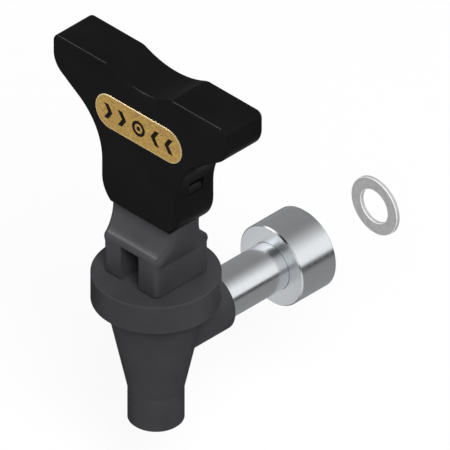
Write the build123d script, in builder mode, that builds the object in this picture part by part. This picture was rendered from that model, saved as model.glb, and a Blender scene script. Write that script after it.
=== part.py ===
from build123d import *
from math import radians, sqrt, tan
import os

# Self-closing lever tap for a hot water boiler, in millimetres.
# The origin is the centre of the union nut's mouth. +Y runs back into the boiler
# along the inlet axis, +Z is up, and +X is on the right of a person facing the tap.

# Where the parts stand
valve_offset = 61.0  # from the nut's mouth forward to the spout axis
bonnet_top = 22.0  # height of the bonnet's top face over the inlet axis

# Clearances
running_fit = 0.06  # radial, stem in its guide and pin in the stem
press_gap = 0.02  # radial, pin in the lever's legs
nut_fit = 0.10  # radial, nut on the tube
nut_seat_gap = 0.10  # nut's shoulder to the tube's flange
thread_gap = 0.15  # radial, between the crests of two screwed pieces
seal_gap = 0.05  # around the cup's socket, the straightener and the seal
moulding_gap = 0.15  # between the handle and what it holds

# Union nut
nut_d = 25.8
nut_length = 14.0
nut_front_wall = 3.0
nut_thread_d = 18.9
nut_thread_length = 8.6
nut_relief_d = nut_thread_d + 2.3  # just over the thread's major diameter
nut_chamfer = 0.4

# Flat sealing washer, standing apart behind the nut
washer_d = 18.6
washer_hole_d = 11.0
washer_thickness = 1.2
washer_standoff = 28.1

# Inlet tube
tube_d = 15.0
tube_bore_d = 9.2
tube_flange_d = 18.2
tube_flange_thickness = 1.8
spigot_d = 14.3
spigot_length = 10.5
spigot_chamfer = 0.5
seal_setback = 1.5
seal_groove_width = 1.6
seal_groove_depth = 1.15

# Valve body
boss_d = 19.0
boss_reach = 23.3  # from the spout axis back to the boss's end face
cone_top_d = 29.8
cone_height = 31.0
spout_d = 16.6
spout_length = 11.15
spout_bore_d = 12.4
throat_d = 10.4
seat_depth = 29.0  # from the bonnet's top down to the seat
seat_lip_width = 1.2
seat_lip_height = 1.0
chamber_top_d = 23.2
chamber_bottom_d = 16.4
neck_d = 32.0
neck_lift = 0.4
edge_break = 0.3

# Bonnet and what it clamps
bonnet_d = 38.0
bonnet_height = 9.5
bonnet_roof = 2.6
slip_ring_thickness = 0.5
slip_ring_hole_d = 17.0
clamp_margin = 0.8  # radial, from the clamped rings to the bonnet's bore

# Seat cup, one silicone moulding
cup_flange_thickness = 1.6
cup_wall = 1.2
cup_top_d = 18.6
cup_bottom_d = 15.2
plug_d = 13.8
plug_height = 4.8
plug_floor = 1.6

# Stem, spring and guide
stem_d = 6.0
stem_foot_d = 8.8
stem_foot_thickness = 1.6
collar_d = 8.4
collar_thickness = 1.0
collar_gap = 0.2
stem_head = 3.4  # from the pin's axis up to the stem's end
stem_end_round = 1.2
spring_washer_d = 10.2
spring_washer_thickness = 0.7
spring_mean_d = 8.8
spring_wire_d = 1.1
spring_turns = 7.0
guide_d = 8.8
guide_flange_d = 11.6
guide_flange_thickness = 1.0
guide_recess = 0.2

# Flow straightener in the spout
straightener_length = 8.6
straightener_recess = 0.6
straightener_wall = 0.9
vane_thickness = 0.8

# Lever, heights measured from the bonnet's top face
foot_gap = 0.25
lever_depth = 21.6
lever_width = 22.0
lever_flare_start = 10.3
lever_flare_middle = (12.42, 16.0)
lever_flare_top = (13.2, 23.0)
neck_waist_height = 21.7
neck_waist_depth = 10.8
neck_arc_r = 9.6
lip_round = 2.2
lever_corner_round = 1.7
foot_round = 0.5
slot_width = 7.3
slot_height = 11.8
pin_height = 6.25
pin_d = 3.0
pin_end_setback = 0.3
pin_blind_reach = 8.2  # from the stem's axis to the blind hole's bottom
pin_chamfer = 0.3
tenon_top = 46.2
pocket_floor = 15.0
tenon_front_wall = 2.3
tenon_side_wall = 2.2
finger_width = 8.0
finger_slot_width = 0.8
finger_root = 27.5
lug_width = 5.4
lug_bottom = 35.2
lug_height = 2.2
lug_reach = 2.1
lug_ramp = 0.7

# Handle, heights measured from the bonnet's top face
handle_bottom = 21.8
handle_width = 70.8
grip_width = 31.2
handle_depth = 15.5
handle_shift = 0.7  # of the handle's middle, back from the stem's axis
grip_corner_width = 3.7
grip_corner_height = 8.0
flare_height = 35.3
flare_r = 20.5
wing_slope = 33.5  # of the wings' undersides, in degrees from level
dip_r = 29.4
dip_depth = 3.0
dip_round = 5.0
tip_thickness = 10.25  # at the handle's ends, before they are rounded
tip_lower_round = 7.6
tip_upper_round = 2.3
handle_edge_round = 1.0
window_width = 6.1
window_bottom = 35.0
window_height = 4.6

# Badge plate
badge_length = 35.3
badge_height = 11.6
badge_middle = 53.6
badge_thickness = 0.9
badge_proud = 0.15
badge_chamfer = 0.15

# Planes and axes that pieces share
valve_axis = Axis((0, -valve_offset, 0), (0, 0, 1))
valve_section = Plane.XZ.offset(valve_offset)
lever_front_plane = Plane(origin=(0, -valve_offset, bonnet_top), x_dir=(1, 0, 0), z_dir=(0, -1, 0))
lever_side_plane = Plane(origin=(0, -valve_offset, bonnet_top), x_dir=(0, 1, 0), z_dir=(1, 0, 0))
badge_plane = Plane(
    origin=(0, handle_shift - handle_depth / 2 - valve_offset, bonnet_top + badge_middle),
    x_dir=(1, 0, 0),
    z_dir=(0, -1, 0),
)


# A plane across the inlet axis, facing back
def across_inlet(y):
    return Plane(origin=(0, y, 0), x_dir=(1, 0, 0), z_dir=(0, 1, 0))


# A level plane centred on the spout axis
def across_valve(z):
    return Plane(origin=(0, -valve_offset, z), x_dir=(1, 0, 0), z_dir=(0, 0, 1))


# The corners of a sketch at one height, on both sides of its middle
def corners_at(outline, half_width, height):
    return outline.vertices().filter_by(
        lambda corner: abs(abs(corner.X) - half_width) < edge_break and abs(corner.Y - height) < edge_break
    )


# Levels down the valve axis
bonnet_bottom = bonnet_top - bonnet_height
roof_underside = bonnet_top - bonnet_roof
rim_level = roof_underside - slip_ring_thickness - cup_flange_thickness
cone_bottom = bonnet_bottom - cone_height
spout_mouth = cone_bottom - spout_length
straightener_top = spout_mouth + straightener_recess + straightener_length
seat_level = bonnet_top - seat_depth
chamber_floor = seat_level - seat_lip_height
neck_underside = bonnet_bottom + neck_lift
bonnet_bore_d = neck_d + 2 * thread_gap
clamped_d = bonnet_bore_d - 2 * clamp_margin

# Levels on the stem
socket_floor = seat_level + plug_floor
foot_bottom = socket_floor + seal_gap
foot_top = foot_bottom + stem_foot_thickness
plug_top = seat_level + plug_height
collar_bottom = plug_top + collar_gap
collar_top = collar_bottom + collar_thickness
spring_bottom = collar_top + spring_washer_thickness
spring_top = roof_underside - guide_flange_thickness
pin_level = bonnet_top + pin_height
stem_top = pin_level + stem_head

# Stations along the inlet
boss_face = boss_reach - valve_offset
spigot_nose = boss_face - spigot_length
counterbore_end = spigot_nose - 2 * moulding_gap
flange_front = nut_seat_gap + nut_front_wall - nut_length
flange_back = flange_front + tube_flange_thickness
groove_front = spigot_nose + seal_setback
groove_back = groove_front + seal_groove_width
groove_r = spigot_d / 2 - seal_groove_depth
counterbore_r = spigot_d / 2 + thread_gap

# Valve body: cone, spout, threaded neck and inlet boss
with BuildPart() as valve_body:
    with BuildSketch(valve_section):
        with BuildLine():
            Polyline(
                (0, spout_mouth),
                (spout_d / 2, spout_mouth),
                (spout_d / 2, cone_bottom),
                (cone_top_d / 2, bonnet_bottom),
                (cone_top_d / 2, neck_underside),
                (neck_d / 2, neck_underside),
                (neck_d / 2, rim_level),
                (0, rim_level),
                close=True,
            )
        make_face()
    revolve(axis=valve_axis)
    chamfer(valve_body.edges().group_by(Axis.Z)[0], length=edge_break)
    with BuildSketch(across_inlet(-valve_offset)):
        Circle(boss_d / 2)
    extrude(amount=boss_reach)
    chamfer(valve_body.faces().sort_by(Axis.Y)[-1].edges(), length=edge_break)
    with BuildSketch(valve_section):
        with BuildLine():
            Polyline(
                (0, spout_mouth),
                (spout_bore_d / 2, spout_mouth),
                (spout_bore_d / 2, straightener_top),
                (throat_d / 2, straightener_top),
                (throat_d / 2, seat_level),
                (throat_d / 2 + seat_lip_width, seat_level),
                (throat_d / 2 + seat_lip_width, chamber_floor),
                (chamber_bottom_d / 2, chamber_floor),
                (chamber_top_d / 2, rim_level),
                (0, rim_level),
                close=True,
            )
        make_face()
    revolve(axis=valve_axis, mode=Mode.SUBTRACT)
    with BuildSketch(across_inlet(-valve_offset)):
        Circle(tube_bore_d / 2)
    extrude(amount=boss_reach, mode=Mode.SUBTRACT)
    with BuildSketch(across_inlet(counterbore_end)):
        Circle(counterbore_r)
    extrude(amount=boss_face - counterbore_end, mode=Mode.SUBTRACT)

# Bonnet: a cap over the neck, with the guide's hole in its roof
with BuildPart() as bonnet:
    with BuildSketch(valve_section):
        with BuildLine():
            Polyline(
                (guide_d / 2 + press_gap, bonnet_top),
                (bonnet_d / 2, bonnet_top),
                (bonnet_d / 2, bonnet_bottom),
                (bonnet_bore_d / 2, bonnet_bottom),
                (bonnet_bore_d / 2, roof_underside),
                (guide_d / 2 + press_gap, roof_underside),
                close=True,
            )
        make_face()
    revolve(axis=valve_axis)
    outer_rims = bonnet.edges().filter_by(GeomType.CIRCLE).group_by(SortBy.RADIUS)[-1]
    chamfer(outer_rims, length=edge_break)

# Stem guide: a flanged bush pushed up into the bonnet's roof
with BuildPart() as stem_guide:
    with BuildSketch(valve_section):
        with BuildLine():
            Polyline(
                (stem_d / 2 + running_fit, bonnet_top - guide_recess),
                (guide_d / 2, bonnet_top - guide_recess),
                (guide_d / 2, roof_underside),
                (guide_flange_d / 2, roof_underside),
                (guide_flange_d / 2, spring_top),
                (stem_d / 2 + running_fit, spring_top),
                close=True,
            )
        make_face()
    revolve(axis=valve_axis)

# Slip ring between the bonnet's roof and the cup's flange
with BuildPart() as slip_ring:
    with BuildSketch(across_valve(roof_underside - slip_ring_thickness)):
        Circle(clamped_d / 2)
        Circle(slip_ring_hole_d / 2, mode=Mode.SUBTRACT)
    extrude(amount=slip_ring_thickness)

# Seat cup: clamped flange, thin wall and a plug with a socket for the stem's foot
with BuildPart() as seat_cup:
    with BuildSketch(valve_section):
        with BuildLine():
            Polyline(
                (0, seat_level),
                (plug_d / 2, seat_level),
                (plug_d / 2, socket_floor),
                (cup_bottom_d / 2, plug_top),
                (cup_top_d / 2, rim_level),
                (clamped_d / 2, rim_level),
                (clamped_d / 2, rim_level + cup_flange_thickness),
                (cup_top_d / 2 - cup_wall, rim_level + cup_flange_thickness),
                (cup_bottom_d / 2 - cup_wall, plug_top),
                (stem_d / 2 + 2 * seal_gap, plug_top),
                (stem_d / 2 + 2 * seal_gap, foot_top + seal_gap),
                (stem_foot_d / 2 + seal_gap, foot_top + seal_gap),
                (stem_foot_d / 2 + seal_gap, socket_floor),
                (0, socket_floor),
                close=True,
            )
        make_face()
    revolve(axis=valve_axis)

# Stem: foot, spring collar and a shank drilled across for the pin
with BuildPart() as stem:
    with BuildSketch(valve_section) as stem_outline:
        with BuildLine():
            Polyline(
                (0, foot_bottom),
                (stem_foot_d / 2, foot_bottom),
                (stem_foot_d / 2, foot_top),
                (stem_d / 2, foot_top),
                (stem_d / 2, collar_bottom),
                (collar_d / 2, collar_bottom),
                (collar_d / 2, collar_top),
                (stem_d / 2, collar_top),
                (stem_d / 2, stem_top),
                (0, stem_top),
                close=True,
            )
        make_face()
    revolve(axis=valve_axis)
    fillet(stem.edges().group_by(Axis.Z)[-1], radius=stem_end_round)
    with BuildSketch(Plane(origin=(0, -valve_offset, pin_level), z_dir=(1, 0, 0))):
        Circle(pin_d / 2 + running_fit)
    extrude(amount=stem_d, both=True, mode=Mode.SUBTRACT)

# Spring washer on the stem's collar
with BuildPart() as spring_washer:
    with BuildSketch(across_valve(collar_top)):
        Circle(spring_washer_d / 2)
        Circle(stem_d / 2 + running_fit, mode=Mode.SUBTRACT)
    extrude(amount=spring_washer_thickness)

# Return spring: a round wire coil with both ends ground flat
with BuildPart() as return_spring:
    spring_length = spring_top - spring_bottom
    with BuildLine(across_valve(spring_bottom)) as spring_path:
        Helix(
            pitch=spring_length / spring_turns,
            height=spring_length,
            radius=spring_mean_d / 2,
        )
    with BuildSketch(Plane(origin=spring_path.line @ 0, z_dir=spring_path.line % 0)):
        Circle(spring_wire_d / 2)
    sweep(is_frenet=True)
    with BuildSketch(across_valve(spring_bottom)):
        Circle(spring_mean_d)
    extrude(amount=spring_length, mode=Mode.INTERSECT)

# Flow straightener: a sleeve with two crossed vanes
with BuildPart() as flow_straightener:
    sleeve_r = spout_bore_d / 2 - seal_gap
    with BuildSketch(across_valve(spout_mouth + straightener_recess)):
        Circle(sleeve_r)
        Circle(sleeve_r - straightener_wall, mode=Mode.SUBTRACT)
        Rectangle(2 * sleeve_r - straightener_wall, vane_thickness)
        Rectangle(vane_thickness, 2 * sleeve_r - straightener_wall)
    extrude(amount=straightener_length)

# Lever: square foot on two legs, waisted neck and a hollow tenon for the handle
foot_level = foot_gap
waist_centre = neck_waist_depth / 2 + neck_arc_r
lip_height = neck_waist_height - sqrt(neck_arc_r**2 - (waist_centre - lever_depth / 2) ** 2)
with BuildPart() as lever:
    with BuildSketch(lever_side_plane) as lever_side:
        with Locations((0, foot_level)):
            Rectangle(lever_depth, tenon_top - foot_level, align=(Align.CENTER, Align.MIN))
        with Locations((-waist_centre, neck_waist_height), (waist_centre, neck_waist_height)):
            Circle(neck_arc_r, mode=Mode.SUBTRACT)
        with Locations((0, neck_waist_height)):
            Rectangle(2 * lever_depth, tenon_top, align=(Align.CENTER, Align.MIN), mode=Mode.SUBTRACT)
            Rectangle(neck_waist_depth, tenon_top - neck_waist_height, align=(Align.CENTER, Align.MIN))
        fillet(corners_at(lever_side, lever_depth / 2, lip_height), radius=lip_round)
    extrude(amount=handle_width / 2, both=True)
    with BuildSketch(lever_front_plane):
        with BuildLine() as lever_edge:
            Line((0, foot_level), (lever_width / 2, foot_level))
            Line((lever_width / 2, foot_level), (lever_width / 2, lever_flare_start))
            ThreePointArc((lever_width / 2, lever_flare_start), lever_flare_middle, lever_flare_top)
            Line(lever_flare_top, (lever_flare_top[0], tenon_top))
            Line((lever_flare_top[0], tenon_top), (0, tenon_top))
            mirror(about=Plane.YZ)
        make_face()
    extrude(amount=lever_depth, both=True, mode=Mode.INTERSECT)
    side_edges = lever.edges().filter_by(lambda edge: abs(edge.center().X) > lever_width / 2 - foot_round)
    upright_edges = side_edges.filter_by(lambda edge: edge.bounding_box().size.Z > foot_gap)
    fillet(upright_edges, radius=lever_corner_round)
    fillet(lever.faces().sort_by(Axis.Z)[0].edges(), radius=foot_round)

    # the slot that the stem stands in, and the pin's hole, open on the left leg only
    with BuildSketch(lever_front_plane):
        Rectangle(slot_width, slot_height, align=(Align.CENTER, Align.MIN))
    extrude(amount=lever_depth, both=True, mode=Mode.SUBTRACT)
    with BuildSketch(Plane(origin=(-lever_width, -valve_offset, pin_level), z_dir=(1, 0, 0))):
        Circle(pin_d / 2 + press_gap)
    extrude(amount=lever_width + pin_blind_reach, mode=Mode.SUBTRACT)

    # the core of the neck, open at the tenon's top
    with BuildSketch(across_valve(bonnet_top + pocket_floor)):
        Rectangle(lever_flare_top[0] * 2 - 2 * tenon_side_wall - 2, neck_waist_depth - 2 * tenon_front_wall)
    extrude(amount=tenon_top - pocket_floor, mode=Mode.SUBTRACT)
    with BuildSketch(across_valve(bonnet_top + finger_root)):
        Rectangle(2 * (lever_flare_top[0] - tenon_side_wall), neck_waist_depth - 2 * tenon_front_wall)
        finger_step = (finger_width + finger_slot_width) / 2
        with Locations((0, finger_step), (0, -finger_step)):
            Rectangle(handle_width, finger_slot_width)
    extrude(amount=tenon_top - finger_root, mode=Mode.SUBTRACT)

    # the snap lugs on the two fingers
    with BuildSketch(lever_front_plane.offset(-handle_shift)):
        with BuildLine():
            Polyline(
                (lever_flare_top[0] - tenon_side_wall / 2, lug_bottom),
                (lever_flare_top[0] + lug_reach, lug_bottom),
                (lever_flare_top[0] + lug_reach, lug_bottom + lug_height - lug_ramp),
                (lever_flare_top[0] + lug_reach - lug_ramp, lug_bottom + lug_height),
                (lever_flare_top[0] - tenon_side_wall / 2, lug_bottom + lug_height),
                close=True,
            )
        make_face()
        mirror(about=Plane.YZ)
    extrude(amount=lug_width / 2, both=True)

# Pivot pin through both legs and the stem
with BuildPart() as pivot_pin:
    pin_start = pin_end_setback - lever_width / 2
    with BuildSketch(Plane(origin=(pin_start, -valve_offset, pin_level), z_dir=(1, 0, 0))):
        Circle(pin_d / 2)
    extrude(amount=pin_blind_reach - seal_gap - pin_start)
    chamfer(pivot_pin.edges().filter_by(GeomType.CIRCLE), length=pin_chamfer)

# Handle: flared grip with a socket for the lever's tenon
dip_half_width = sqrt(dip_r**2 - (dip_r - dip_depth) ** 2)
socket_width = 2 * (lever_flare_top[0] + moulding_gap)
socket_depth = neck_waist_depth + 2 * moulding_gap
socket_top = tenon_top + 2 * moulding_gap
with BuildPart() as handle:
    with BuildSketch(lever_front_plane.offset(-handle_shift)) as handle_outline:
        with BuildLine():
            grip_side = Line(
                (grip_width / 2, flare_height),
                (grip_width / 2, handle_bottom + grip_corner_height),
            )
            grip_corner = TangentArc(
                grip_side @ 1,
                (grip_width / 2 - grip_corner_width, handle_bottom),
                tangent=grip_side % 1,
            )
            Line(grip_corner @ 1, (0, handle_bottom))
            flare = CenterArc((grip_width / 2 + flare_r, flare_height), flare_r, 180, wing_slope - 90)
            wing_run = handle_width / 2 - (flare @ 1).X
            tip_height = (flare @ 1).Y + wing_run * tan(radians(wing_slope))
            handle_top = tip_height + tip_thickness
            Polyline(
                flare @ 1,
                (handle_width / 2, tip_height),
                (handle_width / 2, handle_top),
                (dip_half_width, handle_top),
            )
            ThreePointArc(
                (dip_half_width, handle_top),
                (0, handle_top - dip_depth),
                (-dip_half_width, handle_top),
            )
            mirror(about=Plane.YZ)
        make_face()
        fillet(corners_at(handle_outline, handle_width / 2, tip_height), radius=tip_lower_round)
        fillet(corners_at(handle_outline, handle_width / 2, handle_top), radius=tip_upper_round)
        fillet(corners_at(handle_outline, dip_half_width, handle_top), radius=dip_round)
    extrude(amount=handle_depth / 2, both=True)
    faces_front_to_back = handle.faces().sort_by(Axis.Y)
    fillet(faces_front_to_back[0].edges() + faces_front_to_back[-1].edges(), radius=handle_edge_round)
    with BuildSketch(across_valve(bonnet_top)):
        RectangleRounded(socket_width, socket_depth, lever_corner_round - moulding_gap)
    extrude(amount=socket_top, mode=Mode.SUBTRACT)
    with BuildSketch(lever_side_plane):
        with Locations((handle_shift, window_bottom)):
            Rectangle(window_width, window_height, align=(Align.CENTER, Align.MIN))
    extrude(amount=grip_width, both=True, mode=Mode.SUBTRACT)
    with BuildSketch(badge_plane):
        SlotOverall(badge_length + 2 * seal_gap, badge_height + 2 * seal_gap)
    extrude(amount=badge_proud - badge_thickness, mode=Mode.SUBTRACT)

# Badge: a stadium plate let into the handle's front
with BuildPart() as badge:
    with BuildSketch(badge_plane.offset(badge_proud)):
        SlotOverall(badge_length, badge_height)
    extrude(amount=-badge_thickness)
    chamfer(badge.faces().sort_by(Axis.Y)[0].edges(), length=badge_chamfer)

# Inlet tube: spigot with a seal groove, plain tube and a flange that keeps the nut
with BuildPart() as inlet_tube:
    with BuildSketch(Plane.YZ):
        with BuildLine():
            Polyline(
                (spigot_nose, tube_bore_d / 2),
                (spigot_nose, spigot_d / 2 - spigot_chamfer),
                (spigot_nose + spigot_chamfer, spigot_d / 2),
                (groove_front, spigot_d / 2),
                (groove_front, groove_r),
                (groove_back, groove_r),
                (groove_back, spigot_d / 2),
                (boss_face, spigot_d / 2),
                (boss_face, tube_d / 2),
                (flange_front, tube_d / 2),
                (flange_front, tube_flange_d / 2),
                (flange_back, tube_flange_d / 2),
                (flange_back, tube_bore_d / 2),
                close=True,
            )
        make_face()
    revolve(axis=Axis.Y)

# Round seal in the spigot's groove
with BuildPart() as inlet_seal:
    with BuildSketch(Plane.YZ):
        with Locations(((groove_front + groove_back) / 2, (groove_r + counterbore_r) / 2)):
            Circle((counterbore_r - groove_r - seal_gap) / 2)
    revolve(axis=Axis.Y)

# Union nut: smooth outside, threaded mouth, a relief behind the thread and a front wall
# that pulls on the tube's flange
with BuildPart() as union_nut:
    with BuildSketch(Plane.YZ):
        with BuildLine():
            Polyline(
                (-nut_length, tube_d / 2 + nut_fit),
                (-nut_length, nut_d / 2 - nut_chamfer),
                (nut_chamfer - nut_length, nut_d / 2),
                (-nut_chamfer, nut_d / 2),
                (0, nut_d / 2 - nut_chamfer),
                (0, nut_thread_d / 2),
                (-nut_thread_length, nut_thread_d / 2),
                (-nut_thread_length, nut_relief_d / 2),
                (nut_front_wall - nut_length, nut_relief_d / 2),
                (nut_front_wall - nut_length, tube_d / 2 + nut_fit),
                close=True,
            )
        make_face()
    revolve(axis=Axis.Y)

# Sealing washer, apart behind the nut
with BuildPart() as union_washer:
    with BuildSketch(across_inlet(washer_standoff)):
        Circle(washer_d / 2)
        Circle(washer_hole_d / 2, mode=Mode.SUBTRACT)
    extrude(amount=washer_thickness)

pieces = {
    "valve_body": valve_body,
    "bonnet": bonnet,
    "stem_guide": stem_guide,
    "slip_ring": slip_ring,
    "seat_cup": seat_cup,
    "stem": stem,
    "spring_washer": spring_washer,
    "return_spring": return_spring,
    "flow_straightener": flow_straightener,
    "lever": lever,
    "pivot_pin": pivot_pin,
    "handle": handle,
    "badge": badge,
    "inlet_tube": inlet_tube,
    "inlet_seal": inlet_seal,
    "union_nut": union_nut,
    "union_washer": union_washer,
}
os.makedirs("parts", exist_ok=True)
for name, piece in pieces.items():
    piece.part.label = name
    export_step(piece.part, f"parts/{name}.step")
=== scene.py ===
import bmesh
import bpy
from math import cos, pi, radians, sin
from mathutils import Matrix, Vector


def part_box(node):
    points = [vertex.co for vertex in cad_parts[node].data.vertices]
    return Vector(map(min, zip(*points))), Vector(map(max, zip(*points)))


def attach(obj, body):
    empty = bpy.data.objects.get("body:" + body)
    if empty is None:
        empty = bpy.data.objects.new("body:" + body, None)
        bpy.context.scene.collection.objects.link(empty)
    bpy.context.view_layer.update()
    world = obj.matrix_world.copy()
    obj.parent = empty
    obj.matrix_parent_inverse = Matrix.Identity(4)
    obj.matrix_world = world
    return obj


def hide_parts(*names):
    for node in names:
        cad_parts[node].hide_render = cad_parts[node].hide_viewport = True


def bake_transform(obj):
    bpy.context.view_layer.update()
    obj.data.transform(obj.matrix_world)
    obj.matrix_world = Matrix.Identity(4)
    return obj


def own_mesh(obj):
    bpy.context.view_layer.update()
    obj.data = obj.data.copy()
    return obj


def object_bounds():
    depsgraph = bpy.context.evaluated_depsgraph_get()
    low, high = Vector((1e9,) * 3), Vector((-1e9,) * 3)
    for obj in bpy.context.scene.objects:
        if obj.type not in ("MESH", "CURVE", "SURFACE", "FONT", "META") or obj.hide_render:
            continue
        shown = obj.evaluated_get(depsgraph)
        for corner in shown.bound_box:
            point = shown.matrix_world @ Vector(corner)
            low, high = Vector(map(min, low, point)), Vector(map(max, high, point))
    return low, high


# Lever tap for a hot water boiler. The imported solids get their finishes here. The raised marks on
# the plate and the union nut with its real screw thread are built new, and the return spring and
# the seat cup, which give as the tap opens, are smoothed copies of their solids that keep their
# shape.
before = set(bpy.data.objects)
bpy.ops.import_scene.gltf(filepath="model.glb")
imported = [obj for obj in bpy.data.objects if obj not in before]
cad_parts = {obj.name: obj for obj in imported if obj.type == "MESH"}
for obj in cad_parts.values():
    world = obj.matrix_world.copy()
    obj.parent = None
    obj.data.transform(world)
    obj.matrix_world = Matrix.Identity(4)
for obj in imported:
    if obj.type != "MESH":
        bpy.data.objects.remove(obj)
cadLow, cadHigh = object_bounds()
mm = 0.001
valveAxis = (0, -61 * mm, 0)  # upright, through the spout
pinAxis = (0, -61 * mm, 28.25 * mm)  # from side to side, through the lever's foot
print("frame loaded:", len(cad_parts), "nodes")


# Camera: an isometric view, the same scale along all three axes
cameraSettings = {
    "azimuth": radians(45),
    "elevation": radians(35.264),
    "target": Vector((8.78, -41.58, 32.64)) * mm,
    "width": 130.06 * mm,  # what the square picture spans
    "distance": 0.6,
}


def makeCamera(settings):
    turn, lift = settings["azimuth"], settings["elevation"]
    back = Vector((sin(turn) * cos(lift), -cos(turn) * cos(lift), sin(lift)))
    camera = bpy.data.objects.new("camera", bpy.data.cameras.new("camera"))
    camera.data.type = "ORTHO"
    camera.data.ortho_scale = settings["width"]
    camera.location = settings["target"] + back * settings["distance"]
    camera.rotation_mode = "QUATERNION"
    camera.rotation_quaternion = (-back).to_track_quat("-Z", "Y")
    bpy.context.scene.collection.objects.link(camera)
    bpy.context.scene.camera = camera


makeCamera(cameraSettings)
print("camera placed")


# Helpers for node materials
def newMaterial(name):
    material = bpy.data.materials.new(name)
    material.use_nodes = True
    return material, material.node_tree, material.node_tree.nodes["Principled BSDF"]


def addNode(tree, kind, inputs=(), **settings):
    node = tree.nodes.new(kind)
    for key, value in settings.items():
        setattr(node, key, value)
    for key, value in dict(inputs).items():
        node.inputs[key].default_value = value
    return node


def objectCoords(tree, scale=(1, 1, 1), location=(0, 0, 0)):
    coords = addNode(tree, "ShaderNodeTexCoord")
    mapping = addNode(tree, "ShaderNodeMapping", {"Scale": scale, "Location": location})
    tree.links.new(coords.outputs["Object"], mapping.inputs["Vector"])
    return mapping.outputs["Vector"]


def splitAxes(tree, vector):
    apart = addNode(tree, "ShaderNodeSeparateXYZ")
    tree.links.new(vector, apart.inputs["Vector"])
    return apart.outputs


def joinedLength(tree, first, second):
    across = addNode(tree, "ShaderNodeCombineXYZ")
    tree.links.new(first, across.inputs[0])
    tree.links.new(second, across.inputs[1])
    reach = addNode(tree, "ShaderNodeVectorMath", operation="LENGTH")
    tree.links.new(across.outputs["Vector"], reach.inputs[0])
    return reach.outputs["Value"]


def mathOf(tree, operation, first, second=None):
    node = addNode(tree, "ShaderNodeMath", operation=operation)
    tree.links.new(first, node.inputs[0])
    if isinstance(second, (int, float)):
        node.inputs[1].default_value = second
    elif second is not None:
        tree.links.new(second, node.inputs[1])
    return node.outputs["Value"]


def noiseOf(tree, vector, scale, detail=3.0, roughness=0.5):
    settings = {"Scale": scale, "Detail": detail, "Roughness": roughness}
    noise = addNode(tree, "ShaderNodeTexNoise", settings)
    tree.links.new(vector, noise.inputs["Vector"])
    return noise.outputs["Fac"]


# The default span, 0.3 to 0.7, is where most of a noise lies
def rangeOf(tree, value, low, high, fromLow=0.3, fromHigh=0.7):
    limits = {"From Min": fromLow, "From Max": fromHigh, "To Min": low, "To Max": high}
    remap = addNode(tree, "ShaderNodeMapRange", limits)
    tree.links.new(value, remap.inputs["Value"])
    return remap.outputs["Result"]


def mixColours(tree, factor, first, second):
    mix = addNode(tree, "ShaderNodeMix", data_type="RGBA")
    tree.links.new(factor, mix.inputs["Factor"])
    for colour, socket in ((first, mix.inputs[6]), (second, mix.inputs[7])):
        if isinstance(colour, tuple):
            socket.default_value = (*colour, 1)
        else:
            tree.links.new(colour, socket)
    return mix.outputs[2]


def addBump(tree, shader, layers):
    normal = None
    for height, strength, distance in layers:
        bump = addNode(tree, "ShaderNodeBump", {"Strength": strength, "Distance": distance})
        tree.links.new(height, bump.inputs["Height"])
        if normal is not None:
            tree.links.new(normal, bump.inputs["Normal"])
        normal = bump.outputs["Normal"]
    tree.links.new(normal, shader.inputs["Normal"])


# Rings round a turned piece: the distance from its axis and the place along it
def ringCoords(tree, axis, centre):
    apart = splitAxes(tree, objectCoords(tree, location=tuple(-value for value in centre)))
    along = "XYZ".index(axis)
    across = [apart[index] for index in range(3) if index != along]
    rings = addNode(tree, "ShaderNodeCombineXYZ")
    tree.links.new(joinedLength(tree, *across), rings.inputs[0])
    tree.links.new(apart[along], rings.inputs[1])
    return rings.outputs["Vector"]


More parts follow.
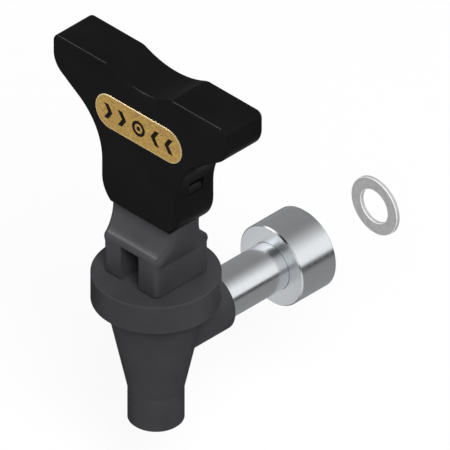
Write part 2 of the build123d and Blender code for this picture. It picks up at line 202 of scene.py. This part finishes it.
# Moulded plastic, rubber and fibre: eroded mould texture, faint mottling and a sheen that comes
# and goes. Two colours and two roughnesses are the ends that each surface varies between.
mouldedFinishes = {
    "mouldedGrey": {
        "dark": (0.036, 0.036, 0.039),
        "light": (0.046, 0.046, 0.049),
        "roughness": (0.36, 0.50),
        "mottleScale": 90,
        "grainScale": 4200,
        "grainStrength": 0.30,
        "specular": 0.06,
    },
    "leverGrey": {
        "dark": (0.031, 0.031, 0.034),
        "light": (0.040, 0.040, 0.043),
        "roughness": (0.34, 0.46),
        "mottleScale": 90,
        "grainScale": 4200,
        "grainStrength": 0.30,
        "specular": 0.20,
    },
    "handleBlack": {
        "dark": (0.0054, 0.0054, 0.0057),
        "light": (0.0074, 0.0074, 0.0078),
        "roughness": (0.22, 0.30),
        "mottleScale": 60,
        "grainScale": 3000,
        "grainStrength": 0.12,
        "specular": 0.02,
    },
    "markBlack": {
        "dark": (0.006, 0.004, 0.004),
        "light": (0.011, 0.007, 0.006),
        "roughness": (0.34, 0.46),
        "mottleScale": 500,
        "grainScale": 6000,
        "grainStrength": 0.20,
        "specular": 0.04,
    },
    "insertBlack": {
        "dark": (0.020, 0.020, 0.022),
        "light": (0.030, 0.030, 0.033),
        "roughness": (0.45, 0.60),
        "mottleScale": 120,
        "grainScale": 5000,
        "grainStrength": 0.30,
        "specular": 0.4,
    },
    "bushIvory": {
        "dark": (0.62, 0.60, 0.55),
        "light": (0.72, 0.70, 0.65),
        "roughness": (0.35, 0.45),
        "mottleScale": 150,
        "grainScale": 3000,
        "grainStrength": 0.15,
        "specular": 0.5,
    },
    "siliconeCream": {
        "dark": (0.50, 0.47, 0.42),
        "light": (0.58, 0.55, 0.50),
        "roughness": (0.40, 0.55),
        "mottleScale": 100,
        "grainScale": 2500,
        "grainStrength": 0.15,
        "specular": 0.5,
    },
    "sealBlack": {
        "dark": (0.012, 0.012, 0.012),
        "light": (0.020, 0.020, 0.020),
        "roughness": (0.45, 0.55),
        "mottleScale": 150,
        "grainScale": 3000,
        "grainStrength": 0.15,
        "specular": 0.5,
    },
    "washerFibre": {
        "dark": (0.36, 0.36, 0.36),
        "light": (0.45, 0.45, 0.445),
        "roughness": (0.50, 0.70),
        "mottleScale": 600,
        "grainScale": 3200,
        "grainStrength": 0.50,
        "specular": 0.4,
    },
}
mouldTexture = {
    "sheenSpread": 2.3,  # how much finer the sheen's patches are than the mottling
    "grainDepth": 0.04 * mm,
    "mottleStrength": 0.02,
    "mottleDepth": 0.3 * mm,
}


def mouldedFinish(name, settings, texture):
    material, tree, shader = newMaterial(name)
    vector = objectCoords(tree)
    sheenScale = settings["mottleScale"] * texture["sheenSpread"]
    mottle = noiseOf(tree, vector, settings["mottleScale"], detail=4)
    grain = noiseOf(tree, vector, settings["grainScale"], detail=2, roughness=0.6)
    sheen = noiseOf(tree, vector, sheenScale, detail=5, roughness=0.7)
    colour = mixColours(tree, rangeOf(tree, mottle, 0, 1), settings["dark"], settings["light"])
    tree.links.new(colour, shader.inputs["Base Color"])
    tree.links.new(rangeOf(tree, sheen, *settings["roughness"]), shader.inputs["Roughness"])
    shader.inputs["Specular IOR Level"].default_value = settings["specular"]
    grainLayer = (grain, settings["grainStrength"], texture["grainDepth"])
    mottleLayer = (mottle, texture["mottleStrength"], texture["mottleDepth"])
    addBump(tree, shader, [grainLayer, mottleLayer])
    return material


# Turned metal: tool rings round the piece's own axis over a cloudier polish
steelColours = {"dark": (0.62, 0.64, 0.66), "light": (0.74, 0.76, 0.78)}
wireColours = {"dark": (0.45, 0.46, 0.47), "light": (0.58, 0.59, 0.60)}
turnedFinishes = {
    "inletSteel": {
        "colours": steelColours,
        "roughness": (0.16, 0.22),
        "ringStrength": 0.1,
        "axis": "Y",
        "centre": (0, 0, 0),
    },
    "facedSteel": {
        "colours": steelColours,
        "roughness": (0.28, 0.34),
        "ringStrength": 0.2,
        "axis": "Y",
        "centre": (0, 0, 0),
    },
    "stemSteel": {
        "colours": steelColours,
        "roughness": (0.16, 0.26),
        "ringStrength": 0.1,
        "axis": "Z",
        "centre": valveAxis,
    },
    "pinSteel": {
        "colours": steelColours,
        "roughness": (0.16, 0.26),
        "ringStrength": 0.1,
        "axis": "X",
        "centre": pinAxis,
    },
    "springWire": {
        "colours": wireColours,
        "roughness": (0.22, 0.32),
        "ringStrength": 0.1,
        "axis": "Z",
        "centre": valveAxis,
    },
}
toolMarks = {
    "ringScale": 5200,
    "ringSpan": (0.25, 0.75),  # the part of the noise that turns from dark to light
    "wideRingScale": 700,
    "cloudScale": 130,
    "cloudShare": (0.7, 1.3),  # how far the clouds dull or brighten the rings
    "ringDepth": 0.012 * mm,
}


def turnedFinish(name, settings, marks):
    material, tree, shader = newMaterial(name)
    ringVector = ringCoords(tree, settings["axis"], settings["centre"])
    rings = noiseOf(tree, ringVector, marks["ringScale"], detail=3, roughness=0.65)
    wideRings = noiseOf(tree, ringVector, marks["wideRingScale"], detail=2)
    cloud = noiseOf(tree, objectCoords(tree), marks["cloudScale"], detail=4, roughness=0.6)
    dark, light = settings["colours"]["dark"], settings["colours"]["light"]
    tint = mixColours(tree, rangeOf(tree, rings, 0, 1, *marks["ringSpan"]), dark, light)
    tree.links.new(tint, shader.inputs["Base Color"])
    uneven = mathOf(tree, "MULTIPLY", wideRings, rangeOf(tree, cloud, *marks["cloudShare"]))
    tree.links.new(rangeOf(tree, uneven, *settings["roughness"]), shader.inputs["Roughness"])
    shader.inputs["Metallic"].default_value = 1.0
    addBump(tree, shader, [(rings, settings["ringStrength"], marks["ringDepth"])])
    return material


# Brass-coloured plate: fine lines along its length, patches of yellower and redder metal,
# and a paler, rougher border all round
plateFinish = {
    "yellow": (0.70, 0.49, 0.10),
    "red": (0.70, 0.41, 0.15),
    "dull": (0.24, 0.15, 0.06),
    "dullShare": 0.8,  # how dark the deepest lines are
    "pale": (0.68, 0.56, 0.33),
    "roughness": (0.32, 0.46),
    "lineScale": (1100, 4200, 4200),
    "lineSpan": (0.36, 0.58),  # the part of the noise that turns from dull to clean metal
    "lineStrength": 0.15,
    "lineDepth": 0.02 * mm,
    "patchScale": 700,
    "patchSpan": (0.4, 0.6),  # and from yellower to redder
    "patchStrength": 0.05,
    "patchDepth": 0.05 * mm,
    "border": 0.35 * mm,
    "borderFade": 0.1 * mm,
    "borderRoughness": 0.62,
}


# 0 in the middle of the plate and 1 in its border, from the distance to its middle line
def plateBorder(tree, settings):
    low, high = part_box("badge")
    middle, radius = (low + high) / 2, (high.z - low.z) / 2
    apart = splitAxes(tree, objectCoords(tree, location=tuple(-middle)))
    aside = mathOf(tree, "ABSOLUTE", apart["X"])
    past = mathOf(tree, "SUBTRACT", aside, high.x - middle.x - radius)
    reach = joinedLength(tree, mathOf(tree, "MAXIMUM", past, 0), apart["Z"])
    start = radius - settings["border"]
    return rangeOf(tree, reach, 0, 1, start - settings["borderFade"], start)


def brushedPlate(name, settings):
    material, tree, shader = newMaterial(name)
    stretched = objectCoords(tree, settings["lineScale"])
    lines = noiseOf(tree, stretched, 1.0, detail=3, roughness=0.7)
    patch = noiseOf(tree, objectCoords(tree), settings["patchScale"], detail=5, roughness=0.7)
    redder = rangeOf(tree, patch, 0, 1, *settings["patchSpan"])
    duller = rangeOf(tree, lines, settings["dullShare"], 0, *settings["lineSpan"])
    metal = mixColours(tree, redder, settings["yellow"], settings["red"])
    lined = mixColours(tree, duller, metal, settings["dull"])
    border = plateBorder(tree, settings)
    tree.links.new(mixColours(tree, border, lined, settings["pale"]), shader.inputs["Base Color"])
    inside = rangeOf(tree, patch, *settings["roughness"])
    outside = rangeOf(tree, border, 0, settings["borderRoughness"], 0, 1)
    tree.links.new(mathOf(tree, "MAXIMUM", inside, outside), shader.inputs["Roughness"])
    shader.inputs["Metallic"].default_value = 1.0
    lineLayer = (lines, settings["lineStrength"], settings["lineDepth"])
    patchLayer = (patch, settings["patchStrength"], settings["patchDepth"])
    addBump(tree, shader, [lineLayer, patchLayer])
    return material


# The lever's two snap catches, which show black in the handle's windows
catchSettings = {
    "start": 13.4 * mm,  # from the lever's middle, just past its sides
    "fade": 0.1 * mm,
    "black": (0.0022, 0.0022, 0.0024),
}


def blackenCatches(material, settings):
    tree = material.node_tree
    shader = tree.nodes["Principled BSDF"]
    grey = shader.inputs["Base Color"].links[0].from_socket
    aside = mathOf(tree, "ABSOLUTE", splitAxes(tree, objectCoords(tree))["X"])
    catch = rangeOf(tree, aside, 0, 1, settings["start"], settings["start"] + settings["fade"])
    tree.links.new(mixColours(tree, catch, grey, settings["black"]), shader.inputs["Base Color"])


# A painted highlight on the stamped edges of the washer's front face: its inner and outer rims are
# painted pale
rimHighlightPaint = {
    "middle": 7.4 * mm,  # radius halfway across the ring
    "halfWidth": 1.7 * mm,
    "front": 28.3 * mm,  # how far back along the inlet the painted highlight reaches
    "fade": 0.06 * mm,
    "pale": (0.85, 0.85, 0.85),
}


def paintRimHighlight(material, settings):
    tree = material.node_tree
    shader = tree.nodes["Principled BSDF"]
    grey = shader.inputs["Base Color"].links[0].from_socket
    width, front, fade = settings["halfWidth"], settings["front"], settings["fade"]
    apart = splitAxes(tree, ringCoords(tree, "Y", (0, 0, 0)))
    aside = mathOf(tree, "ABSOLUTE", mathOf(tree, "SUBTRACT", apart["X"], settings["middle"]))
    rim = rangeOf(tree, aside, 0, 1, width, width + fade)
    ahead = rangeOf(tree, apart["Y"], 1, 0, front, front + fade)
    # the pale rims are a painted highlight
    highlightMask = mathOf(tree, "MULTIPLY", rim, ahead)
    tree.links.new(mixColours(tree, highlightMask, grey, settings["pale"]), shader.inputs["Base Color"])


nodeFinishes = {
    "valve_body": "mouldedGrey",
    "bonnet": "mouldedGrey",
    "lever": "leverGrey",
    "handle": "handleBlack",
    "badge": "brushedPlate",
    "flow_straightener": "insertBlack",
    "stem_guide": "bushIvory",
    "slip_ring": "bushIvory",
    "seat_cup": "siliconeCream",
    "inlet_seal": "sealBlack",
    "union_washer": "washerFibre",
    "inlet_tube": "inletSteel",
    "union_nut": "inletSteel",
    "stem": "stemSteel",
    "spring_washer": "stemSteel",
    "pivot_pin": "pinSteel",
    "return_spring": "springWire",
}
finishes = {"brushedPlate": brushedPlate("brushedPlate", plateFinish)}
for finishName, finishSettings in mouldedFinishes.items():
    finishes[finishName] = mouldedFinish(finishName, finishSettings, mouldTexture)
for finishName, finishSettings in turnedFinishes.items():
    finishes[finishName] = turnedFinish(finishName, finishSettings, toolMarks)
blackenCatches(finishes["leverGrey"], catchSettings)
# paints a highlight on the washer's rims
paintRimHighlight(finishes["washerFibre"], rimHighlightPaint)
for nodeName, finishName in nodeFinishes.items():
    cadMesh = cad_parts[nodeName].data
    cadMesh.materials.clear()
    cadMesh.materials.append(finishes[finishName])
print("finishes assigned")


# A bmesh made into a finished piece, which rides on a body when one is given and otherwise stays
# put
def finishPiece(shape, name, finishName, body):
    bmesh.ops.remove_doubles(shape, verts=shape.verts, dist=0.0005 * mm)
    bmesh.ops.recalc_face_normals(shape, faces=shape.faces)
    mesh = bpy.data.meshes.new(name)
    shape.to_mesh(mesh)
    shape.free()
    mesh.materials.append(finishes[finishName])
    piece = bpy.data.objects.new(name, mesh)
    bpy.context.scene.collection.objects.link(piece)
    if body:
        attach(piece, body)
    return piece


# Marks on the plate: a ring with a dot, and two chevrons on each side that point to it
markSettings = {
    "height": 5.2 * mm,
    "stroke": 1.6875 * mm,  # of a chevron's arms, measured along the plate
    "chevronReach": 1.7 * mm,
    "chevronPlaces": (6.7 * mm, 12.3 * mm),
    "ringWidth": 1.0 * mm,
    "ringSegments": 72,
    "dotSize": 1.5 * mm,
    "dotSegments": 40,
    "raised": 0.06 * mm,
    "sunk": 0.05 * mm,
    "edgeRound": 0.025 * mm,
}


def raiseOutline(shape, faces, settings):
    grown = bmesh.ops.extrude_face_region(shape, geom=faces)
    raisedVerts = [item for item in grown["geom"] if isinstance(item, bmesh.types.BMVert)]
    raisedFaces = {item for item in grown["geom"] if isinstance(item, bmesh.types.BMFace)}
    rims = [edge for edge in shape.edges if len(raisedFaces.intersection(edge.link_faces)) == 1]
    bmesh.ops.translate(shape, vec=(0, 0, settings["raised"] + settings["sunk"]), verts=raisedVerts)
    bmesh.ops.bevel(
        shape,
        geom=rims,
        offset=settings["edgeRound"],
        segments=2,
        profile=0.5,
        affect="EDGES",
        material=-1,
    )


# A chevron that points right where points is 1, and left where it is -1
def chevron(shape, place, points, settings):
    half, stroke, reach = settings["height"] / 2, settings["stroke"], settings["chevronReach"]
    corners = [
        (0, half), (stroke, half), (stroke + reach, 0),
        (stroke, -half), (0, -half), (reach, 0),
    ]
    middle = (reach + stroke) / 2
    verts = [shape.verts.new((place + points * (x - middle), y, 0)) for x, y in corners]
    upper = shape.faces.new([verts[0], verts[1], verts[2], verts[5]])
    lower = shape.faces.new([verts[2], verts[3], verts[4], verts[5]])
    raiseOutline(shape, [upper, lower], settings)


def makeMarks(settings):
    shape = bmesh.new()
    radius, segments = settings["height"] / 2, settings["ringSegments"]
    for circleRadius in (radius, radius - settings["ringWidth"]):
        bmesh.ops.create_circle(shape, segments=segments, radius=circleRadius)
    ring = bmesh.ops.bridge_loops(shape, edges=shape.edges[:])
    raiseOutline(shape, ring["faces"], settings)
    dot = bmesh.ops.create_circle(
        shape, cap_ends=True, segments=settings["dotSegments"], radius=settings["dotSize"] / 2
    )
    raiseOutline(shape, dot["verts"][0].link_faces[:], settings)
    for place in settings["chevronPlaces"]:
        chevron(shape, -place, 1, settings)
        chevron(shape, place, -1, settings)

    # stood up against the plate's front
    low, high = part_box("badge")
    middle = (low + high) / 2
    stoodUp = Matrix.Rotation(pi / 2, 3, "X")
    bmesh.ops.rotate(shape, cent=(0, 0, 0), matrix=stoodUp, verts=shape.verts)
    plateFront = (middle.x, low.y + settings["sunk"], middle.z)
    bmesh.ops.translate(shape, vec=plateFront, verts=shape.verts)
    finishPiece(shape, "plate_marks", "markBlack", "lever")


makeMarks(markSettings)
print("plate marks made")


# Union nut: a turned shell and a helical thread ridge inside its mouth
nutSettings = {
    "length": 14.0 * mm,
    "outerRadius": 12.9 * mm,
    "tubeHole": 7.6 * mm,
    "frontWall": 3.0 * mm,
    "rootRadius": 10.48 * mm,
    "crestRadius": 9.47 * mm,
    "reliefRadius": 10.6 * mm,
    "threadLength": 8.6 * mm,
    "pitch": 1.814 * mm,
    "ridgeFoot": (0.05, 0.95),  # where the ridge's foot and crest start and end, in pitches
    "ridgeCrest": (0.42, 0.58),
    "ridgeSunk": 0.1 * mm,  # into the shell
    "chamfer": 0.4 * mm,
    "leadIn": 0.5 * mm,
    "segments": 144,
}


def spinProfile(shape, points, segments):
    verts = [shape.verts.new((radius, along, 0)) for along, radius in points]
    edges = [shape.edges.new((verts[i - 1], verts[i])) for i in range(len(verts))]
    bmesh.ops.spin(
        shape,
        geom=verts + edges,
        cent=(0, 0, 0),
        axis=(0, 1, 0),
        angle=2 * pi,
        steps=segments,
        use_merge=True,
        use_duplicate=False,
    )


def makeNutShell(settings):
    length, wall, cut = settings["length"], settings["frontWall"], settings["chamfer"]
    outer, hole, leadIn = settings["outerRadius"], settings["tubeHole"], settings["leadIn"]
    root, relief = settings["rootRadius"], settings["reliefRadius"]
    threadEnd = settings["threadLength"]
    shape = bmesh.new()
    profile = [
        (-length, hole),
        (-length, outer - cut),
        (cut - length, outer),
        (-cut, outer),
        (0, outer - cut),
        (0, root + leadIn),
        (-leadIn, root),
        (-threadEnd, root),
        (-threadEnd, relief),
        (wall - length, relief),
        (wall - length, hole),
    ]
    spinProfile(shape, profile, settings["segments"])
    shell = finishPiece(shape, "nut_shell", "inletSteel", "nut")
    shell.data.materials.append(finishes["facedSteel"])
    for face in shell.data.polygons:
        if face.center.y < cut / 4 - length:  # the front face only, not its chamfer
            face.material_index = 1
    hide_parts("union_nut")


# A right hand thread: from the relief outwards, one pitch to a turn
def makeNutThread(settings):
    pitch, segments, threadEnd = settings["pitch"], settings["segments"], settings["threadLength"]
    crest, foot = settings["crestRadius"], settings["rootRadius"] + settings["ridgeSunk"]
    turns = (threadEnd - settings["leadIn"] / 2) / pitch - 1
    footStart, footEnd = settings["ridgeFoot"]
    crestStart, crestEnd = settings["ridgeCrest"]
    section = [(footStart, foot), (crestStart, crest), (crestEnd, crest), (footEnd, foot)]
    ridge = bmesh.new()
    verts = [ridge.verts.new((radius, share * pitch - threadEnd, 0)) for share, radius in section]
    bmesh.ops.spin(
        ridge,
        geom=[ridge.faces.new(verts)],
        cent=(0, 0, 0),
        axis=(0, 1, 0),
        dvec=(0, pitch / segments, 0),
        angle=2 * pi * turns,
        steps=round(segments * turns),
        use_duplicate=False,
    )
    finishPiece(ridge, "nut_thread", "inletSteel", "nut")


makeNutShell(nutSettings)
makeNutThread(nutSettings)
print("union nut made")


# A copy of a solid, merged and smoothed, which takes the solid's place
def copySolid(node, name, finishName, body, sharpAngle):
    shape = bmesh.new()
    shape.from_mesh(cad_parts[node].data)
    piece = finishPiece(shape, name, finishName, body)
    piece.data.shade_smooth()
    piece.data.set_sharp_from_angle(angle=sharpAngle)
    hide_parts(node)
    return piece


# Return spring, which in the tap is pressed shorter as the stem lifts: here a smoothed copy riding
# on the body
springSettings = {
    "joint": "stem_lift",
    "sharpAngle": radians(60),
}


def makeSpring(settings):
    angle = settings["sharpAngle"]
    spring = copySolid("return_spring", "coil_spring", "springWire", "body", angle)
    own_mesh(spring)


# Seat cup, whose wall gives as its plug goes up with the stem: here a smoothed copy fixed where it
# stands
cupSettings = {
    "wallTop": 17.3 * mm,
    "wallBottom": -2.2 * mm,
    "sharpAngle": radians(35),
}


def makeCup(settings):
    angle = settings["sharpAngle"]
    cup = copySolid("seat_cup", "moulded_cup", "siliconeCream", None, angle)
    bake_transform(cup)


makeSpring(springSettings)
makeCup(cupSettings)
print("spring and cup made")


# Floor, which keeps the tap's shadow on a nearly white ground
floorSettings = {
    "drop": 30 * mm,  # below the spout's mouth
    "size": 4.0,
    "colour": (0.80, 0.80, 0.80),
    "roughness": 0.9,
    "whiteShare": 0.88,  # of plain white, in what the camera sees
}


def makeFloor(settings):
    mesh = bpy.data.meshes.new("floor")
    shape = bmesh.new()
    bmesh.ops.create_grid(shape, x_segments=1, y_segments=1, size=settings["size"] / 2)
    bmesh.ops.translate(shape, vec=(0, 0, cadLow.z - settings["drop"]), verts=shape.verts)
    shape.to_mesh(mesh)
    shape.free()
    floor = bpy.data.objects.new("floor", mesh)
    bpy.context.scene.collection.objects.link(floor)
    material, tree, shader = newMaterial("paleFloor")
    shader.inputs["Base Color"].default_value = (*settings["colour"], 1)
    shader.inputs["Roughness"].default_value = settings["roughness"]
    shader.inputs["Specular IOR Level"].default_value = 0.0
    white = addNode(tree, "ShaderNodeEmission", {"Color": (1, 1, 1, 1), "Strength": 1.0})
    path = addNode(tree, "ShaderNodeLightPath")
    share = mathOf(tree, "MULTIPLY", path.outputs["Is Camera Ray"], settings["whiteShare"])
    mix = addNode(tree, "ShaderNodeMixShader")
    tree.links.new(share, mix.inputs["Fac"])
    tree.links.new(shader.outputs["BSDF"], mix.inputs[1])
    tree.links.new(white.outputs["Emission"], mix.inputs[2])
    tree.links.new(mix.outputs["Shader"], tree.nodes["Material Output"].inputs["Surface"])
    floor.data.materials.append(material)
    floor.visible_glossy = False
    floor.visible_diffuse = False


# Lamps, placed from the tap's middle: two light it, and two show only as highlights
lamps = {
    "front": {"at": (0.95, -0.68, 1.08), "size": 0.8, "power": 27, "lights": True},
    "back": {"at": (-0.5, 1.1, 0.8), "size": 0.8, "power": 5, "lights": True},
    "sheen": {"at": (-0.85, -0.17, 1.1), "size": 0.45, "power": 25, "lights": False},
    "neckSheen": {"at": (-0.87, -1.16, 0.45), "size": 1.3, "power": 6, "lights": False},
}


def makeLamps(settings):
    middle = (cadLow + cadHigh) / 2
    for name, lamp in settings.items():
        light = bpy.data.lights.new(name, "AREA")
        light.shape = "DISK"
        light.size = lamp["size"]
        light.energy = lamp["power"]
        holder = bpy.data.objects.new(name, light)
        holder.location = middle + Vector(lamp["at"])
        holder.rotation_mode = "QUATERNION"
        holder.rotation_quaternion = (-Vector(lamp["at"])).to_track_quat("-Z", "Y")
        holder.visible_diffuse = lamp["lights"]
        holder.visible_glossy = not lamp["lights"]
        bpy.context.scene.collection.objects.link(holder)


# Surroundings: what polished metal sees round it. Each row of stops runs from -1 to 1: the sky
# from left to right, the ground from front to back and from left to right, and the dark line of
# the horizon from low to high.
surroundings = {
    "evenLight": 0.50,  # what falls on the object from all round
    "sky": (
        (-1, 0.30), (-0.12, 0.29), (0.06, 0.34), (0.23, 0.50),
        (0.38, 0.68), (0.52, 0.92), (0.65, 1.15), (1, 1.2),
    ),
    "ground": ((-1, 0.82), (-0.45, 0.82), (-0.25, 0.28), (0.62, 0.33), (0.72, 0.08), (1, 0.08)),
    "groundSide": ((-1, 0.2), (-0.74, 0.2), (-0.62, 1), (1, 1)),
    "groundSideTop": -0.25,  # how high the darker side of the ground reaches
    "groundSideFade": 0.15,
    "groundTop": -0.06,
    "skyBottom": 0.0,
    "horizon": ((-1, 1), (-0.25, 1), (-0.13, 0.25), (0.0, 0.05), (0.09, 1), (1, 1)),
    "horizonStart": 0.1,  # the dark line shows from here to the right
    "horizonFade": 0.1,
}


def rampOf(tree, value, stops):
    ramp = addNode(tree, "ShaderNodeValToRGB")
    tree.links.new(rangeOf(tree, value, 0, 1, -1, 1), ramp.inputs["Fac"])
    elements = ramp.color_ramp.elements
    while len(elements) < len(stops):
        elements.new(0.5)
    for element, (place, shade) in zip(elements, stops):
        element.position = (place + 1) / 2
        element.color = (shade, shade, shade, 1)
    return ramp.outputs["Color"]


def timesColours(tree, first, second):
    times = addNode(tree, "ShaderNodeMix", data_type="RGBA", blend_type="MULTIPLY")
    times.inputs["Factor"].default_value = 1.0
    tree.links.new(first, times.inputs[6])
    tree.links.new(second, times.inputs[7])
    return times.outputs[2]


def makeWorld(settings):
    world = bpy.data.worlds.new("studio")
    world.use_nodes = True
    tree = world.node_tree
    coords = addNode(tree, "ShaderNodeTexCoord")
    apart = splitAxes(tree, coords.outputs["Generated"])
    plain = (1.0, 1.0, 1.0)

    sky = rampOf(tree, apart["X"], settings["sky"])
    sideTop = settings["groundSideTop"]
    far = rangeOf(tree, apart["Z"], 0, 1, sideTop - settings["groundSideFade"], sideTop)
    side = mixColours(tree, far, rampOf(tree, apart["X"], settings["groundSide"]), plain)
    ground = timesColours(tree, rampOf(tree, apart["Y"], settings["ground"]), side)
    above = rangeOf(tree, apart["Z"], 0, 1, settings["groundTop"], settings["skyBottom"])
    lineStart = settings["horizonStart"]
    left = rangeOf(tree, apart["X"], 1, 0, lineStart - settings["horizonFade"], lineStart)
    line = mixColours(tree, left, rampOf(tree, apart["Z"], settings["horizon"]), plain)
    around = timesColours(tree, mixColours(tree, above, ground, sky), line)

    # even light for everything but reflections and what the camera sees past the tap
    even = tree.nodes["Background"]
    even.inputs["Color"].default_value = (1, 1, 1, 1)
    even.inputs["Strength"].default_value = settings["evenLight"]
    mirrored = addNode(tree, "ShaderNodeBackground", {"Strength": 1.0})
    tree.links.new(around, mirrored.inputs["Color"])
    white = addNode(tree, "ShaderNodeBackground", {"Color": (1, 1, 1, 1), "Strength": 1.0})
    path = addNode(tree, "ShaderNodeLightPath")
    surface = even.outputs["Background"]
    for ray, background in (("Is Glossy Ray", mirrored), ("Is Camera Ray", white)):
        mix = addNode(tree, "ShaderNodeMixShader")
        tree.links.new(path.outputs[ray], mix.inputs["Fac"])
        tree.links.new(surface, mix.inputs[1])
        tree.links.new(background.outputs["Background"], mix.inputs[2])
        surface = mix.outputs["Shader"]
    tree.links.new(surface, tree.nodes["World Output"].inputs["Surface"])
    bpy.context.scene.world = world


makeFloor(floorSettings)
makeLamps(lamps)
makeWorld(surroundings)
bpy.context.scene.view_settings.view_transform = "Standard"
print("floor, lamps and surroundings made")
